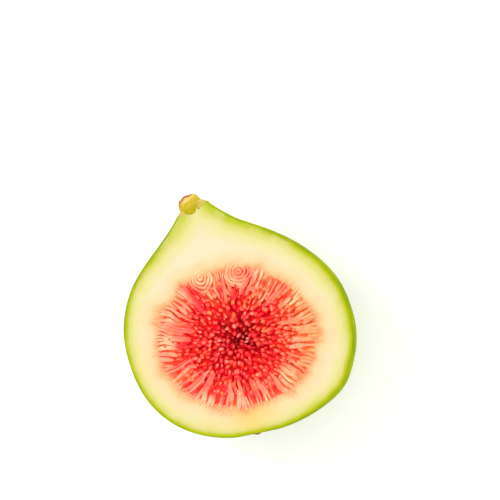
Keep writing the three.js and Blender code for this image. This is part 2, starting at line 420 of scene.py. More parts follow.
def border_colour(bench, border):
    """Green skin edge, yellow-green underneath, and then cream."""
    wander = bench.noise(bench.add("ShaderNodeTexCoord", output=3), 260.0, 3.0)
    shifted = bench.math("ADD", border, bench.remap(wander, 0.3, 0.7, -0.02, 0.02))
    return bench.ramp(shifted, [
        (0.00, srgb(140, 160, 0)),
        (0.06, srgb(174, 184, 8)),
        (0.12, srgb(196, 199, 46)),
        (0.20, srgb(213, 209, 108)),
        (0.34, srgb(225, 218, 142)),
        (0.70, srgb(235, 222, 186)),
    ])


print("outline has", len(OUTLINE), "points")

# %% [markdown]
# The skin is a shell: the outer grid, the same grid 0.9 mm further in, and strips that join them along
# the cut and round the neck. The swell at the lower right leaves a pinhole where the grids start, at
# the eye's end. The skin carries two more numbers for its pattern, because a fig's flecks and streaks
# run from the eye to the stem: how far round and how far along a point is, in millimetres.

# %% The skin's mesh
def make_skin():
    inner, inner_turn = layer_grid(SKIN_THICKNESS)
    sheets = Sheets()
    rows = []
    for grid, turn, border in ((outer, outer_turn, 0.0), (inner, inner_turn, border_value(inner))):
        rows.append(sheets.add_points(grid, border=border, round_mm=turn * BODY_RADIUS,
                                      along_mm=grid[..., 1]))
    first = RINGS_BELOW_KNIFE
    sheets.skin_over(rows[0])
    sheets.skin_over(rows[1])
    sheets.skin_over(np.stack([rows[0][first:, 0], rows[1][first:, 0]]))
    sheets.skin_over(np.stack([rows[0][first:, -1], rows[1][first:, -1]]))
    sheets.skin_over(np.stack([rows[0][-1], rows[1][-1]]))
    return sheets.build("green_skin")


skin = make_skin()

# %% [markdown]
# A ripe green fig is yellow-green and waxy. It has a darker, cloudy green in large soft patches, fine
# streaks along its ribs, and small pale flecks that are stretched from the eye to the stem. The flecks
# are cells of a stretched Voronoi pattern: only the middle of some cells is kept. The same pattern
# lifts each fleck a little in the bump. The wax shines where it faces the eye and turns dull edge-on,
# so the strip beside the cut stays dark green.

# %% The skin's material
def dull_edges(bench, roughness):
    """Rougher edge-on, where a mirror of the pale room would hide the colour."""
    edge_on = bench.add("ShaderNodeLayerWeight", output="Facing")
    return bench.math("ADD", roughness, bench.remap(edge_on, 0.45, 0.75, 0.0, 0.6), clamp=True)


def skin_material():
    finish, bench, surface = new_material("waxy_green_skin")
    place = bench.add("ShaderNodeTexCoord", output=3)
    lengthwise = bench.add("ShaderNodeCombineXYZ", {
        0: bench.stored("round_mm"),
        1: bench.math("MULTIPLY", bench.stored("along_mm"), 0.33),
    })
    clouds = bench.noise(place, 75.0, 4.0, 0.6)
    streaks = bench.noise(bench.add("ShaderNodeCombineXYZ", {
        0: bench.stored("round_mm"),
        1: bench.math("MULTIPLY", bench.stored("along_mm"), 0.07),
    }), 1.3, 3.0, 0.6)
    green = bench.mix(bench.remap(clouds, 0.35, 0.7), srgb(126, 147, 0), srgb(158, 174, 0))
    green = bench.mix(bench.remap(streaks, 0.45, 0.8, 0.0, 0.45), green, srgb(184, 194, 10))
    neck = bench.remap(bench.stored("along_mm"), 34.0, 54.0, 0.0, 0.55)
    green = bench.mix(neck, green, srgb(190, 205, 60))
    cells = bench.add("ShaderNodeTexVoronoi", {"Vector": lengthwise, "Scale": 0.36, "Randomness": 1.0},
                      voronoi_dimensions="2D")
    fleck_cell = cells.node
    size = bench.add("ShaderNodeSeparateColor", {0: fleck_cell.outputs["Color"]})
    reach = bench.remap(size, 0.2, 1.0, 0.02, 0.105, smooth=False)
    from_middle = bench.math("DIVIDE", fleck_cell.outputs["Distance"], reach)
    fleck = bench.math("SUBTRACT", 1.0, from_middle, clamp=True)
    green = bench.mix(bench.math("MULTIPLY", fleck, 0.85), green, srgb(216, 222, 120))
    on_cut = bench.remap(bench.stored("border"), 0.004, 0.012)
    colour = bench.mix(on_cut, green, border_colour(bench, bench.stored("border")))
    fine = bench.noise(place, 900.0, 3.0)
    height = bench.math("ADD", bench.math("MULTIPLY", fine, 0.35), bench.math("MULTIPLY", fleck, 0.6))
    relief = bench.add("ShaderNodeBump", {"Strength": 0.35, "Distance": 0.00012, "Height": height})
    roughness = dull_edges(bench, bench.remap(clouds, 0.3, 0.7, 0.34, 0.46))
    connect(bench, surface, Base_Color=colour, Normal=relief, Roughness=roughness, Specular_IOR_Level=0.07,
            Subsurface_Weight=0.2, Subsurface_Radius=(0.9, 0.75, 0.3), Subsurface_Scale=0.0008)
    return finish


dress(skin, skin_material())
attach(skin, "root")
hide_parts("skin")

# %% [markdown]
# The flesh is the cream wall between skin and pulp. Its cut face is what the eye sees first, so its
# rows run from the outline in to the edge of the pulp, and every row can carry its own distance. The
# face ends in a thin lip that slopes down under the florets, because a step there would draw a line
# that the photo doesn't have. Below the lip, the rows go on down the hollow that the pulp fills. The
# florets don't point at the very middle of the pulp but at its heart, a little below it.

# %% The pulp's hollow
PULP_RADII = np.array([20.7, 17.8, 18.0])
PULP_CENTRE = np.array([2.95, 23.2, 0.0])
PULP_TURN = math.radians(13)
CUT_SHARE = math.sqrt(1 - (KNIFE_Z / PULP_RADII[2]) ** 2)
HEART = np.array([-0.01, -0.04])


def in_pulp(share, angle, z, shrink=0.0):
    """A point of the pulp: a share of the way from its heart to its wall, at an angle, at height z."""
    off_middle = np.maximum(0, 1 - share / CUT_SHARE)
    x = (PULP_RADII[0] - shrink) * (share * np.cos(angle) + HEART[0] * off_middle)
    y = (PULP_RADII[1] - shrink) * (share * np.sin(angle) + HEART[1] * off_middle)
    turned_x = x * math.cos(PULP_TURN) + y * math.sin(PULP_TURN)
    turned_y = y * math.cos(PULP_TURN) - x * math.sin(PULP_TURN)
    return np.stack(np.broadcast_arrays(PULP_CENTRE[0] + turned_x, PULP_CENTRE[1] + turned_y, z), axis=-1)


def pulp_place(points):
    """The angle of a point round the pulp's middle, and its distance as a share of the wall's at the cut."""
    x, y = points[..., 0] - PULP_CENTRE[0], points[..., 1] - PULP_CENTRE[1]
    across = (x * math.cos(PULP_TURN) - y * math.sin(PULP_TURN)) / PULP_RADII[0]
    up = (x * math.sin(PULP_TURN) + y * math.cos(PULP_TURN)) / PULP_RADII[1]
    return np.arctan2(up, across), np.hypot(across, up) / CUT_SHARE


print("pulp at the cut, mm:", (2 * PULP_RADII[:2] * CUT_SHARE).round(1))

# %% The flesh's mesh
FLESH_INSET = SKIN_THICKNESS - 0.05
FLESH_BELOW_RIM = 0.08
FACE_SHARES = [0.88, 0.92, 0.96, 1.0, 1.08, 1.2]
FACE_DEPTHS = [0.75, 0.40, 0.15, 0.06, 0.02, 0.01]
FACE_ROWS = 52
FACE_CROWDING = 1.15
NECK_STEPS = 14
LIP_THICKNESS = 0.15
HOLLOW_ROWS = 14


def make_flesh():
    grid, _ = layer_grid(FLESH_INSET, FLESH_BELOW_RIM)
    right, left = rim_of(grid)
    across = np.linspace(0, 1, NECK_STEPS + 2)[1:-1, None]
    neck_edge = right[-1] * (1 - across) + left[-1] * across
    loop = np.concatenate([right, neck_edge, left[::-1]])
    angle, _ = pulp_place(loop)
    lip = in_pulp(FACE_SHARES[0] * CUT_SHARE, angle, KNIFE_Z)
    share = np.linspace(0, 1, FACE_ROWS)[:, None, None] ** FACE_CROWDING
    face = loop[None] * (1 - share) + lip[None] * share
    face[..., 2] = KNIFE_Z - np.interp(pulp_place(face)[1], FACE_SHARES, FACE_DEPTHS)
    under_lip = math.asin((KNIFE_Z - FACE_DEPTHS[0] - LIP_THICKNESS) / PULP_RADII[2])
    down = np.linspace(under_lip, -math.pi / 2, HOLLOW_ROWS)
    hollow = in_pulp(np.cos(down[:, None]), angle[None], PULP_RADII[2] * np.sin(down[:, None]))
    sheets = Sheets()
    grid[..., 2] = np.minimum(grid[..., 2], KNIFE_Z - FACE_DEPTHS[-1])
    back = sheets.add_points(grid, border=border_value(grid))
    front = sheets.add_points(face, border=border_value(face))
    cup = sheets.add_points(hollow, border=1.0)
    sheets.skin_over(back)
    sheets.skin_over(front)
    sheets.skin_over(np.concatenate([front[-1:], cup]))
    neck_cap = list(back[-1]) + list(front[0][len(right):len(right) + len(neck_edge)][::-1])
    sheets.faces.append(neck_cap)
    return sheets.build("cream_flesh")


flesh = make_flesh()

# %% [markdown]
# The flesh is moist and lets light a little way in, so it gets subsurface scattering in a warm cream.
# Its rim on the neck is tinted yellow-green, and one dark speck sits where the cut meets the stub.
# Between flesh and pulp there is no line. The photo shows the cream turn peach in soft streaks that
# point at the middle: the roots of the florets. So one function colours this border for the flesh,
# for the bed and for the florets. Its streaks are noise in polar form, which changes fast round the
# middle and slowly towards it.

# %% Colours round the wall of the pulp
YELLOW_WAY = (0.16, -0.987, 0.0)


def around_pulp(bench):
    """The share of the way from the pulp's heart to its wall, and the direction as a unit vector."""
    centre = to_frame(PULP_CENTRE)
    place = bench.add("ShaderNodeTexCoord", output=3)
    local = bench.add("ShaderNodeMapping", {
        "Vector": place, "Location": tuple(centre), "Rotation": (0, 0, -PULP_TURN),
        "Scale": (PULP_RADII[0] * CUT_SHARE * MM, PULP_RADII[1] * CUT_SHARE * MM, 1.0),
    }, vector_type="TEXTURE")
    flat = bench.add("ShaderNodeVectorMath", {0: local, 1: (1, 1, 0)}, operation="MULTIPLY")
    share = bench.add("ShaderNodeVectorMath", {0: flat}, output=1, operation="LENGTH")
    for _ in range(3):
        off_middle = bench.math("SUBTRACT", 1.0, share, clamp=True)
        shift = bench.add("ShaderNodeVectorMath", {0: (*HEART, 0), "Scale": off_middle}, operation="SCALE")
        from_heart = bench.add("ShaderNodeVectorMath", {0: flat, 1: shift}, operation="SUBTRACT")
        share = bench.add("ShaderNodeVectorMath", {0: from_heart}, output=1, operation="LENGTH")
    direction = bench.add("ShaderNodeVectorMath", {0: from_heart}, operation="NORMALIZE")
    lobes = bench.noise(direction, 2.6, 2.0)
    share = bench.math("ADD", share, bench.remap(lobes, 0.3, 0.7, -0.05, 0.05))
    return share, direction


def radial_streaks(bench, share, direction, fineness, stretch):
    """Noise that runs in streaks towards the middle of the pulp."""
    wound = bench.add("ShaderNodeVectorMath", {0: direction, 1: (fineness,) * 3}, operation="MULTIPLY")
    outwards = bench.add("ShaderNodeCombineXYZ", {2: bench.math("MULTIPLY", share, stretch)})
    vector = bench.add("ShaderNodeVectorMath", {0: wound, 1: outwards}, operation="ADD")
    return bench.noise(vector, 1.0, 2.0, 0.5, 0.4)


def wall_colour(bench, share, direction, cream):
    """Cream that turns peach at the pulp, with orange streaks where the florets are rooted."""
    streaks = radial_streaks(bench, share, direction, 34.0, 6.0)
    warm = bench.remap(share, 0.98, 1.25, 0.85, 0.0)
    colour = bench.mix(warm, cream, srgb(242, 206, 148))
    towards = bench.add("ShaderNodeVectorMath", {0: direction, 1: YELLOW_WAY}, output=1,
                        operation="DOT_PRODUCT")
    below = bench.math("MULTIPLY", bench.remap(towards, 0.95, 1.0), bench.remap(share, 1.35, 1.0))
    colour = bench.mix(bench.math("MULTIPLY", below, 0.6), colour, srgb(244, 200, 92))
    colour = bench.mix(bench.remap(share, 0.88, 1.06, 0.9, 0.0), colour, srgb(252, 164, 102))
    near = bench.remap(share, 0.90, 1.05, 1.0, 0.0)
    rooted = bench.math("MULTIPLY", near, bench.remap(streaks, 0.44, 0.62, 0.0, 0.75))
    return bench.mix(rooted, colour, srgb(246, 146, 88))


print("the yellow spot lies at", round(math.degrees(math.atan2(*YELLOW_WAY[1::-1]))), "degrees")

# %% The speck beside the stub
SPECK_PLACE = np.array([2.2, 55.25, 3.0])
SPECK_RADIUS = 0.13


def with_speck(bench, place, colour):
    """The colour, with the one dark speck where the cut meets the stub."""
    ends = {0: place, 1: tuple(to_frame(SPECK_PLACE))}
    away = bench.add("ShaderNodeVectorMath", ends, output=1, operation="DISTANCE")
    speck = bench.remap(away, SPECK_RADIUS * MM, 2 * SPECK_RADIUS * MM, 0.9, 0.0)
    return bench.mix(speck, colour, srgb(70, 56, 0))


print("speck at", to_frame(SPECK_PLACE).round(4))

# %% The flesh's material
TINT_STARTS = float(to_frame([0, 44.5, 0])[1])
TINT_FULL = float(to_frame([0, 52.5, 0])[1])


def flesh_material():
    finish, bench, surface = new_material("moist_cream_flesh")
    place = bench.add("ShaderNodeTexCoord", output=3)
    share, direction = around_pulp(bench)
    colour = border_colour(bench, bench.stored("border"))
    up = bench.add("ShaderNodeSeparateXYZ", {0: place}, output=1)
    at_rim = bench.remap(bench.stored("border"), 0.04, 0.22, 0.65, 0.0)
    on_neck_rim = bench.math("MULTIPLY", bench.remap(up, TINT_STARTS, TINT_FULL), at_rim)
    colour = bench.mix(on_neck_rim, colour, srgb(188, 202, 0))
    mottle = bench.noise(place, 170.0, 4.0, 0.55)
    colour = bench.mix(bench.remap(mottle, 0.42, 0.66, 0.0, 0.3), colour, srgb(236, 216, 176))
    colour = with_speck(bench, place, wall_colour(bench, share, direction, colour))
    fine = bench.noise(place, 1100.0, 3.0, 0.6)
    height = bench.math("ADD", fine, bench.math("MULTIPLY", mottle, 2.0))
    relief = bench.add("ShaderNodeBump", {"Strength": 0.25, "Distance": 0.00015, "Height": height})
    roughness = bench.remap(mottle, 0.3, 0.7, 0.38, 0.55)
    connect(bench, surface, Base_Color=colour, Normal=relief, Roughness=roughness, Specular_IOR_Level=0.25,
            Subsurface_Weight=0.35, Subsurface_Radius=(1.0, 0.75, 0.4), Subsurface_Scale=0.0008)
    return finish


dress(flesh, flesh_material())
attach(flesh, "root")
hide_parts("flesh")

# %% [markdown]
# The pulp is a crowd of florets, each a stalk that grows from the wall and swells into a wet tip. The
# knife has cut the ones along its plane, which lie like spokes, and the rest stand up out of the deep.
# First comes the bed that they stand in: a dish with a rough floor. It is what shows between the
# florets, so it is orange at the wall, red inside and maroon in the middle, darkened partly as painted
# shade.

# %% The pulp's bed
BED_SHARES = [0.0, 0.3, 0.55, 0.72, 0.82, 0.90, 0.95, 0.99]
BED_DEPTHS = [2.6, 2.1, 1.4, 1.0, 0.72, 0.50, 0.34, 0.3]
BED_TURNS = 200
BED_ROWS = 64
BED_RIPPLES = 61
BED_RIPPLE_HEIGHT = 0.18
BED_GAP = 0.05


def bed_depth(share):
    """How far the bed lies below the cut, at a share of the way from the middle to the wall."""
    return np.interp(share, BED_SHARES, BED_DEPTHS)


def make_bed():
    share = np.linspace(0, BED_SHARES[-1], BED_ROWS)[:, None]
    angle = np.linspace(0, 2 * math.pi, BED_TURNS + 1)[None]
    ripple = BED_RIPPLE_HEIGHT * np.sin(BED_RIPPLES * angle + 5 * np.sin(9 * share))
    ripple = ripple * np.sin(math.pi * np.minimum(share, 1))
    floor = in_pulp(share * CUT_SHARE, angle, KNIFE_Z - bed_depth(share) + ripple)
    down = np.linspace(math.asin(KNIFE_Z / PULP_RADII[2]), -math.pi / 2, HOLLOW_ROWS)[1:, None]
    shell = in_pulp(np.cos(down), angle, PULP_RADII[2] * np.sin(down) + BED_GAP, shrink=BED_GAP)
    sheets = Sheets()
    top = sheets.add_points(floor)
    under = sheets.add_points(shell)
    sheets.skin_over(top)
    sheets.skin_over(np.concatenate([top[-1:], under]))
    return sheets.build("pulp_bed", merge=1e-6)


bed = make_bed()

# %% [markdown]
# The florets repeat by the hundred, so Geometry Nodes place them. Python only decides where: each
# floret is one vertex with a stored aim and size. The tree stands a copy of a floret on every vertex,
# wobbles the copies with noise so that no two are alike, and then presses flat whatever stands above
# the plane of the cut. A little of the height is kept, so the flat tops stay apart from their own
# undersides.

# %% The tree that plants florets
PRESSED_SHARE = 0.94


def new_tree(name, sockets):
    """A geometry tree with a geometry in and out, and the named inputs."""
    tree = bpy.data.node_groups.new(name, "GeometryNodeTree")
    tree.interface.new_socket("Geometry", in_out="INPUT", socket_type="NodeSocketGeometry")
    for label, kind in sockets:
        tree.interface.new_socket(label, in_out="INPUT", socket_type=kind)
    tree.interface.new_socket("Geometry", in_out="OUTPUT", socket_type="NodeSocketGeometry")
    return tree, NodeBench(tree)


def planting_tree():
    tree, bench = new_tree("plant_florets", [
        ("Floret", "NodeSocketObject"), ("Knife height", "NodeSocketFloat"),
        ("Trim spread", "NodeSocketFloat"), ("Wobble", "NodeSocketFloat"),
        ("Wobble size", "NodeSocketFloat"), ("Finish", "NodeSocketMaterial"),
    ])
    given = tree.nodes.new("NodeGroupInput").outputs

    def named(label, kind):
        node = tree.nodes.new("GeometryNodeInputNamedAttribute")
        node.data_type = kind
        node.inputs["Name"].default_value = label
        return node.outputs["Attribute"]

    aim = bench.add("FunctionNodeAlignRotationToVector", {"Vector": named("aim", "FLOAT_VECTOR")}, axis="Z")
    shape = bench.add("GeometryNodeObjectInfo", {"Object": given["Floret"]}, output="Geometry")
    planted = bench.add("GeometryNodeInstanceOnPoints", {
        "Points": given["Geometry"], "Instance": shape, "Rotation": aim,
        "Scale": named("size", "FLOAT_VECTOR"),
    })
    crowd = bench.add("GeometryNodeRealizeInstances", {"Geometry": planted})
    place = tree.nodes.new("GeometryNodeInputPosition").outputs[0]
    wave = bench.add("ShaderNodeTexNoise", {
        "Vector": place, "Scale": given["Wobble size"], "Detail": 1.0,
    }, output=1)
    centred = bench.add("ShaderNodeVectorMath", {0: wave, 1: (0.5, 0.5, 0.5)}, operation="SUBTRACT")
    push = bench.add("ShaderNodeVectorMath", {0: centred, "Scale": given["Wobble"]}, operation="SCALE")
    crowd = bench.add("GeometryNodeSetPosition", {"Geometry": crowd, "Offset": push})
    lowered = bench.math("MULTIPLY", named("tint", "FLOAT"), given["Trim spread"])
    plane = bench.math("SUBTRACT", given["Knife height"], lowered)
    parts = bench.add("ShaderNodeSeparateXYZ", {0: place}).node
    above = bench.math("MAXIMUM", bench.math("SUBTRACT", parts.outputs["Z"], plane), 0.0)
    pressed = bench.math("SUBTRACT", parts.outputs["Z"], bench.math("MULTIPLY", above, PRESSED_SHARE))
    trimmed = bench.add("ShaderNodeCombineXYZ", {0: parts.outputs["X"], 1: parts.outputs["Y"], 2: pressed})
    crowd = bench.add("GeometryNodeSetPosition", {"Geometry": crowd, "Position": trimmed})
    crowd = bench.add("GeometryNodeSetShadeSmooth", {"Geometry": crowd})
    crowd = bench.add("GeometryNodeSetMaterial", {"Geometry": crowd, "Material": given["Finish"]})
    tree.links.new(crowd, tree.nodes.new("NodeGroupOutput").inputs[0])
    return tree


PLANTING = planting_tree()
print("the planting tree has", len(PLANTING.nodes), "nodes")

# %% [markdown]
# One floret is a small closed shape, turned round its own axis, with its tip at the top. It stores how
# far along it each point is, so the material can make the tips pale and the stalks deep red. The cut
# spokes are longer and slimmer, and widen again where they leave the wall.

# %% The floret shapes
def floret_shape(name, profile, sides=9):
    """A turned shape. The profile is a list of (radius, height), from the root at -1 to the tip at 0."""
    profile = np.array(profile)
    angle = np.linspace(0, 2 * math.pi, sides + 1)[None]
    radius, height = profile[:, :1], profile[:, 1:]
    points = np.stack(np.broadcast_arrays(radius * np.cos(angle), radius * np.sin(angle), height), axis=2)
    sheets = Sheets()
    sheets.skin_over(sheets.add_points(points / MM - FRUIT_ORIGIN, tip=1 + height))
    return sheets.build(name, merge=1e-5)


tip_floret = floret_shape("floret_tip", [
    (0.0, -1.0), (0.3, -1.0), (0.34, -0.7), (0.4, -0.5), (0.47, -0.34), (0.5, -0.22), (0.44, -0.1),
    (0.27, -0.025), (0.0, 0.0),
])
spoke_floret = floret_shape("floret_spoke", [
    (0.0, -1.0), (0.16, -0.98), (0.28, -0.88), (0.36, -0.76), (0.41, -0.64), (0.44, -0.52), (0.46, -0.4),
    (0.48, -0.28), (0.48, -0.18), (0.44, -0.09), (0.28, -0.02), (0.0, 0.0),
])
seed_shape = floret_shape("seed_drop", [
    (0.0, -1.0), (0.2, -0.96), (0.42, -0.78), (0.5, -0.55), (0.44, -0.32), (0.26, -0.12), (0.0, 0.0),
])

# %% [markdown]
# Where the florets go: the spokes lie side by side all round the wall and end at uneven lengths. The
# tips crowd the rest. They are thrown like darts, and a dart counts only if it has room. Room is
# counted longer towards the middle than across, because the tips lean that way and look longer. A few
# yellow seeds lie loose between them.

# %% Where the florets stand
rng = np.random.default_rng(11)
DARTS = 60000
SPOKES = 108
SPOKE_WIDTH = 1.2
SPOKE_BEND = 0.03
LEAST_RISE = 0.035
TIP_REACH = 0.72
TIP_ROOM_ACROSS = 0.70
TIP_ROOM_ALONG = 1.35
ROOM_GROWS_TO = 0.3
TIP_WIDTH = 1.15
SEEDS = 42
SEED_ZONE = (0.06, 0.8)
SEED_WIDTH = 0.85
SEED_SLIMNESS = 1.5


def planted_points(name, spots, aims, sizes):
    """A mesh of loose vertices with the aim, the size and a random tint of the floret on each."""
    mesh = bpy.data.meshes.new(name)
    mesh.from_pydata(to_frame(spots).tolist(), [], [])
    for label, value in (("aim", aims), ("size", np.asarray(sizes) * MM)):
        layer = mesh.attributes.new(label, "FLOAT_VECTOR", "POINT")
        layer.data.foreach_set("vector", np.asarray(value, np.float32).reshape(-1))
    layer = mesh.attributes.new("tint", "FLOAT", "POINT")
    layer.data.foreach_set("value", rng.random(len(spots)).astype(np.float32))
    piece = bpy.data.objects.new(name, mesh)
    bpy.context.scene.collection.objects.link(piece)
    return piece


def aim_inwards(angle, lean, unruly):
    """A direction that leans from upright towards the middle of the pulp, give or take a little."""
    inwards = in_pulp(0.0, angle, 0.0) - in_pulp(1.0, angle, 0.0)
    inwards /= np.linalg.norm(inwards)
    aim = inwards * math.sin(lean) + np.array([0, 0, math.cos(lean)]) + rng.normal(0, unruly, 3)
    aim[2] = max(aim[2], LEAST_RISE)
    return aim


def spoke_plan():
    spots, aims, sizes = [], [], []
    for i in range(SPOKES):
        angle = 2 * math.pi * (i + 0.5 * rng.random()) / SPOKES
        width = SPOKE_WIDTH * rng.uniform(0.7, 1.15)
        root = in_pulp(rng.uniform(0.97, 1.03) * CUT_SHARE, angle, KNIFE_Z - rng.uniform(0.24, 0.32))
        bend = rng.normal(0, SPOKE_BEND)
        reach = rng.uniform(0.5, 0.84) * CUT_SHARE
        tip = in_pulp(reach, angle + bend, KNIFE_Z - 0.47 * width - rng.uniform(0, 0.22))
        length = np.linalg.norm(tip - root)
        spots.append(tip)
        aims.append((tip - root) / length)
        sizes.append((width, width, length))
    return spots, aims, sizes


def dart_places():
    """Places for the tips, as a share and an angle, with room round each."""
    kept = []
    for _ in range(DARTS):
        share, angle = TIP_REACH * math.sqrt(rng.random()), rng.uniform(0, 2 * math.pi)
        place = in_pulp(share, angle, 0)[:2]
        outwards = place - PULP_CENTRE[:2]
        outwards /= max(np.linalg.norm(outwards), 1e-6)
        if kept:
            gap = np.array([k[2] for k in kept]) - place
            along = gap @ outwards
            across = gap @ np.array([-outwards[1], outwards[0]])
            stretch = TIP_ROOM_ACROSS + (TIP_ROOM_ALONG - TIP_ROOM_ACROSS) * min(1, share / ROOM_GROWS_TO)
            if np.min((along / stretch) ** 2 + (across / TIP_ROOM_ACROSS) ** 2) < 1:
                continue
        kept.append((share, angle, place))
    return kept


def tip_plan():
    spots, aims, sizes = [], [], []
    for share, angle, _ in dart_places():
        stand = rng.uniform(0.7, 2.2)
        width = TIP_WIDTH * rng.uniform(0.6, 1.25)
        lean = math.radians(22 + 60 * (share / TIP_REACH) ** 0.7)
        depth = max(bed_depth(share) - stand, rng.uniform(0.0, 0.35) + 0.42 * width * math.sin(lean))
        spots.append(in_pulp(share * CUT_SHARE, angle, KNIFE_Z - depth))
        aims.append(aim_inwards(angle, lean, 0.16))
        sizes.append((width, width * rng.uniform(0.75, 1.1), rng.uniform(2.8, 4.6)))
    return spots, aims, sizes


def seed_plan():
    spots, aims, sizes = [], [], []
    for _ in range(SEEDS):
        share, angle = math.sqrt(rng.uniform(*SEED_ZONE)), rng.uniform(0, 2 * math.pi)
        width = SEED_WIDTH * rng.uniform(0.8, 1.15)
        spots.append(in_pulp(share * CUT_SHARE, angle, KNIFE_Z - rng.uniform(0.05, 0.3)))
        aims.append(aim_inwards(angle, math.radians(rng.uniform(65, 85)), 0.3))
        sizes.append((width, width, width * SEED_SLIMNESS))
    return spots, aims, sizes


spoke_points = planted_points("spoke_points", *spoke_plan())
tip_points = planted_points("tip_points", *tip_plan())
seed_points = planted_points("seed_points", *seed_plan())
print(len(spoke_points.data.vertices), "spokes,", len(tip_points.data.vertices), "tips and", SEEDS, "seeds")

# %% [markdown]
# The pulp's colours change with the way out from the middle: maroon, then red, salmon, and pale peach
# at the wall. What is deep is darker and redder than what stands high: partly the stalks' own red, and
# partly painted shade in the gaps. One function gives that blend for bed and florets alike. It is a
# little more orange on one side and pinker on the other, as in the photo, and a finer noise turns some
# patches orange. Each floret also has its own tint: some are as red as the gaps, and some pale.

# %% The pulp's materials
def pulp_colour(bench, height, tint):
    """height runs from 0, deep between the florets, to 1, on their tips. The deep end is darker, partly the
    stalks' own red and partly painted shade.
    """
    share, direction = around_pulp(bench)
    place = bench.add("ShaderNodeTexCoord", output=3)
    patches = bench.noise(place, 230.0, 3.0)
    hue = bench.noise(place, 380.0, 2.0)
    side = bench.add("ShaderNodeSeparateXYZ", {0: direction})
    upwards = bench.math("MULTIPLY", bench.math("MULTIPLY", side.node.outputs["Y"], share), 0.04)
    blurred = bench.math("ADD", share, bench.remap(patches, 0.3, 0.7, -0.22, 0.11))
    wedges = bench.remap(bench.noise(direction, 3.6, 1.0), 0.35, 0.65, -0.09, 0.07)
    blurred = bench.math("ADD", bench.math("ADD", blurred, upwards), wedges)
    # deep: the redder stalks and the gaps between florets, darkened partly as painted shade; high: the tips
    deep = bench.ramp(blurred, [
        (0.0, srgb(176, 0, 14)), (0.16, srgb(236, 6, 26)), (0.5, srgb(254, 14, 30)),
        (0.7, srgb(255, 52, 34)), (0.85, srgb(252, 92, 44)), (0.97, srgb(252, 138, 76)),
    ])
    high = bench.ramp(blurred, [
        (0.0, srgb(248, 56, 60)), (0.25, srgb(255, 84, 82)), (0.5, srgb(255, 104, 88)),
        (0.7, srgb(255, 144, 112)), (0.85, srgb(255, 182, 142)), (0.97, srgb(255, 208, 160)),
    ])
    orange = bench.math("MULTIPLY", bench.remap(hue, 0.45, 0.65, 0.0, 0.55), bench.remap(share, 0.1, 0.35))
    deep = bench.mix(orange, deep, srgb(255, 60, 30))
    high = bench.mix(orange, high, srgb(255, 136, 84))
    rightwards = bench.remap(bench.math("MULTIPLY", side, share), 0.35, 0.95, 0.0, 0.5)
    deep = bench.mix(rightwards, deep, srgb(252, 120, 30))
    high = bench.mix(rightwards, high, srgb(255, 180, 96))
    inside = bench.remap(blurred, 0.5, 0.85, 1.0, 0.15)
    red = bench.math("MULTIPLY", bench.remap(tint, 0.1, 0.45, 0.9, 0.0), inside)
    high = bench.mix(red, high, srgb(242, 22, 42))
    pale = bench.math("MULTIPLY", bench.remap(tint, 0.65, 1.0, 0.0, 0.45), inside)
    high = bench.mix(pale, high, srgb(255, 196, 168))
    colour = bench.mix(height, deep, high)
    wall = wall_colour(bench, share, direction, srgb(250, 212, 156))
    return bench.mix(bench.remap(share, 0.90, 1.03), colour, wall)


def wet_surface(bench, surface, colour, bump_distance):
    """The moist finish that all the pulp's pieces share."""
    place = bench.add("ShaderNodeTexCoord", output=3)
    grain = bench.noise(place, 1500.0, 2.0)
    relief = bench.add("ShaderNodeBump", {"Strength": 0.3, "Distance": bump_distance, "Height": grain})
    connect(bench, surface, Base_Color=colour, Normal=relief, Roughness=dull_edges(bench, 0.26),
            Specular_IOR_Level=0.3, Subsurface_Weight=0.3, Subsurface_Radius=(1.0, 0.7, 0.5),
            Subsurface_Scale=0.0002)


def painted_depth_shade(bench, low, high):
    """0 at low millimetres below the knife, 1 at high: painted shade, since what lies deeper takes the
    darker colour of the gaps.
    """
    place = bench.add("ShaderNodeTexCoord", output=3)
    z = bench.add("ShaderNodeSeparateXYZ", {0: place}, output=2)
    knife = float(to_frame([0, 0, KNIFE_Z])[2])
    return bench.remap(z, knife - low * MM, knife - high * MM)


def painted_top_light(bench):
    """Painted light: 1 on the upward-facing top of a floret, painted pale as a highlight, and 0 on its steep
    flanks, painted in the darker gap colour as shade.
    """
    normal = bench.add("ShaderNodeNewGeometry", output="Normal")
    z = bench.add("ShaderNodeSeparateXYZ", {0: normal}, output=2)
    return bench.remap(z, 0.45, 1.0, 0.1, 1.0)


def bed_material():
    finish, bench, surface = new_material("wet_red_bed")
    place = bench.add("ShaderNodeTexCoord", output=3)
    # the bed stays near the deep end of the blend, so its darker red is partly painted shade between the
    # florets
    height = bench.remap(bench.noise(place, 420.0, 2.0), 0.4, 0.8, 0.0, 0.3)
    wet_surface(bench, surface, pulp_colour(bench, height, 0.5), 0.0003)
    return finish


def floret_material():
    finish, bench, surface = new_material("wet_floret")
    tip = bench.remap(bench.stored("tip"), 0.6, 0.96)
    # height: pale tips, times painted shade lower down and a painted highlight on upward-facing tops
    height = bench.math("MULTIPLY", tip, painted_depth_shade(bench, 2.4, 0.25))
    height = bench.math("MULTIPLY", height, painted_top_light(bench))
    wet_surface(bench, surface, pulp_colour(bench, height, bench.stored("tint")), 0.0001)
    return finish


def spoke_material():
    finish, bench, surface = new_material("cut_floret")
    # height: painted shade lower down, times a painted highlight on upward-facing tops
    height = bench.math("MULTIPLY", painted_depth_shade(bench, 0.9, 0.2), painted_top_light(bench))
    wet_surface(bench, surface, pulp_colour(bench, height, bench.stored("tint")), 0.0001)
    return finish


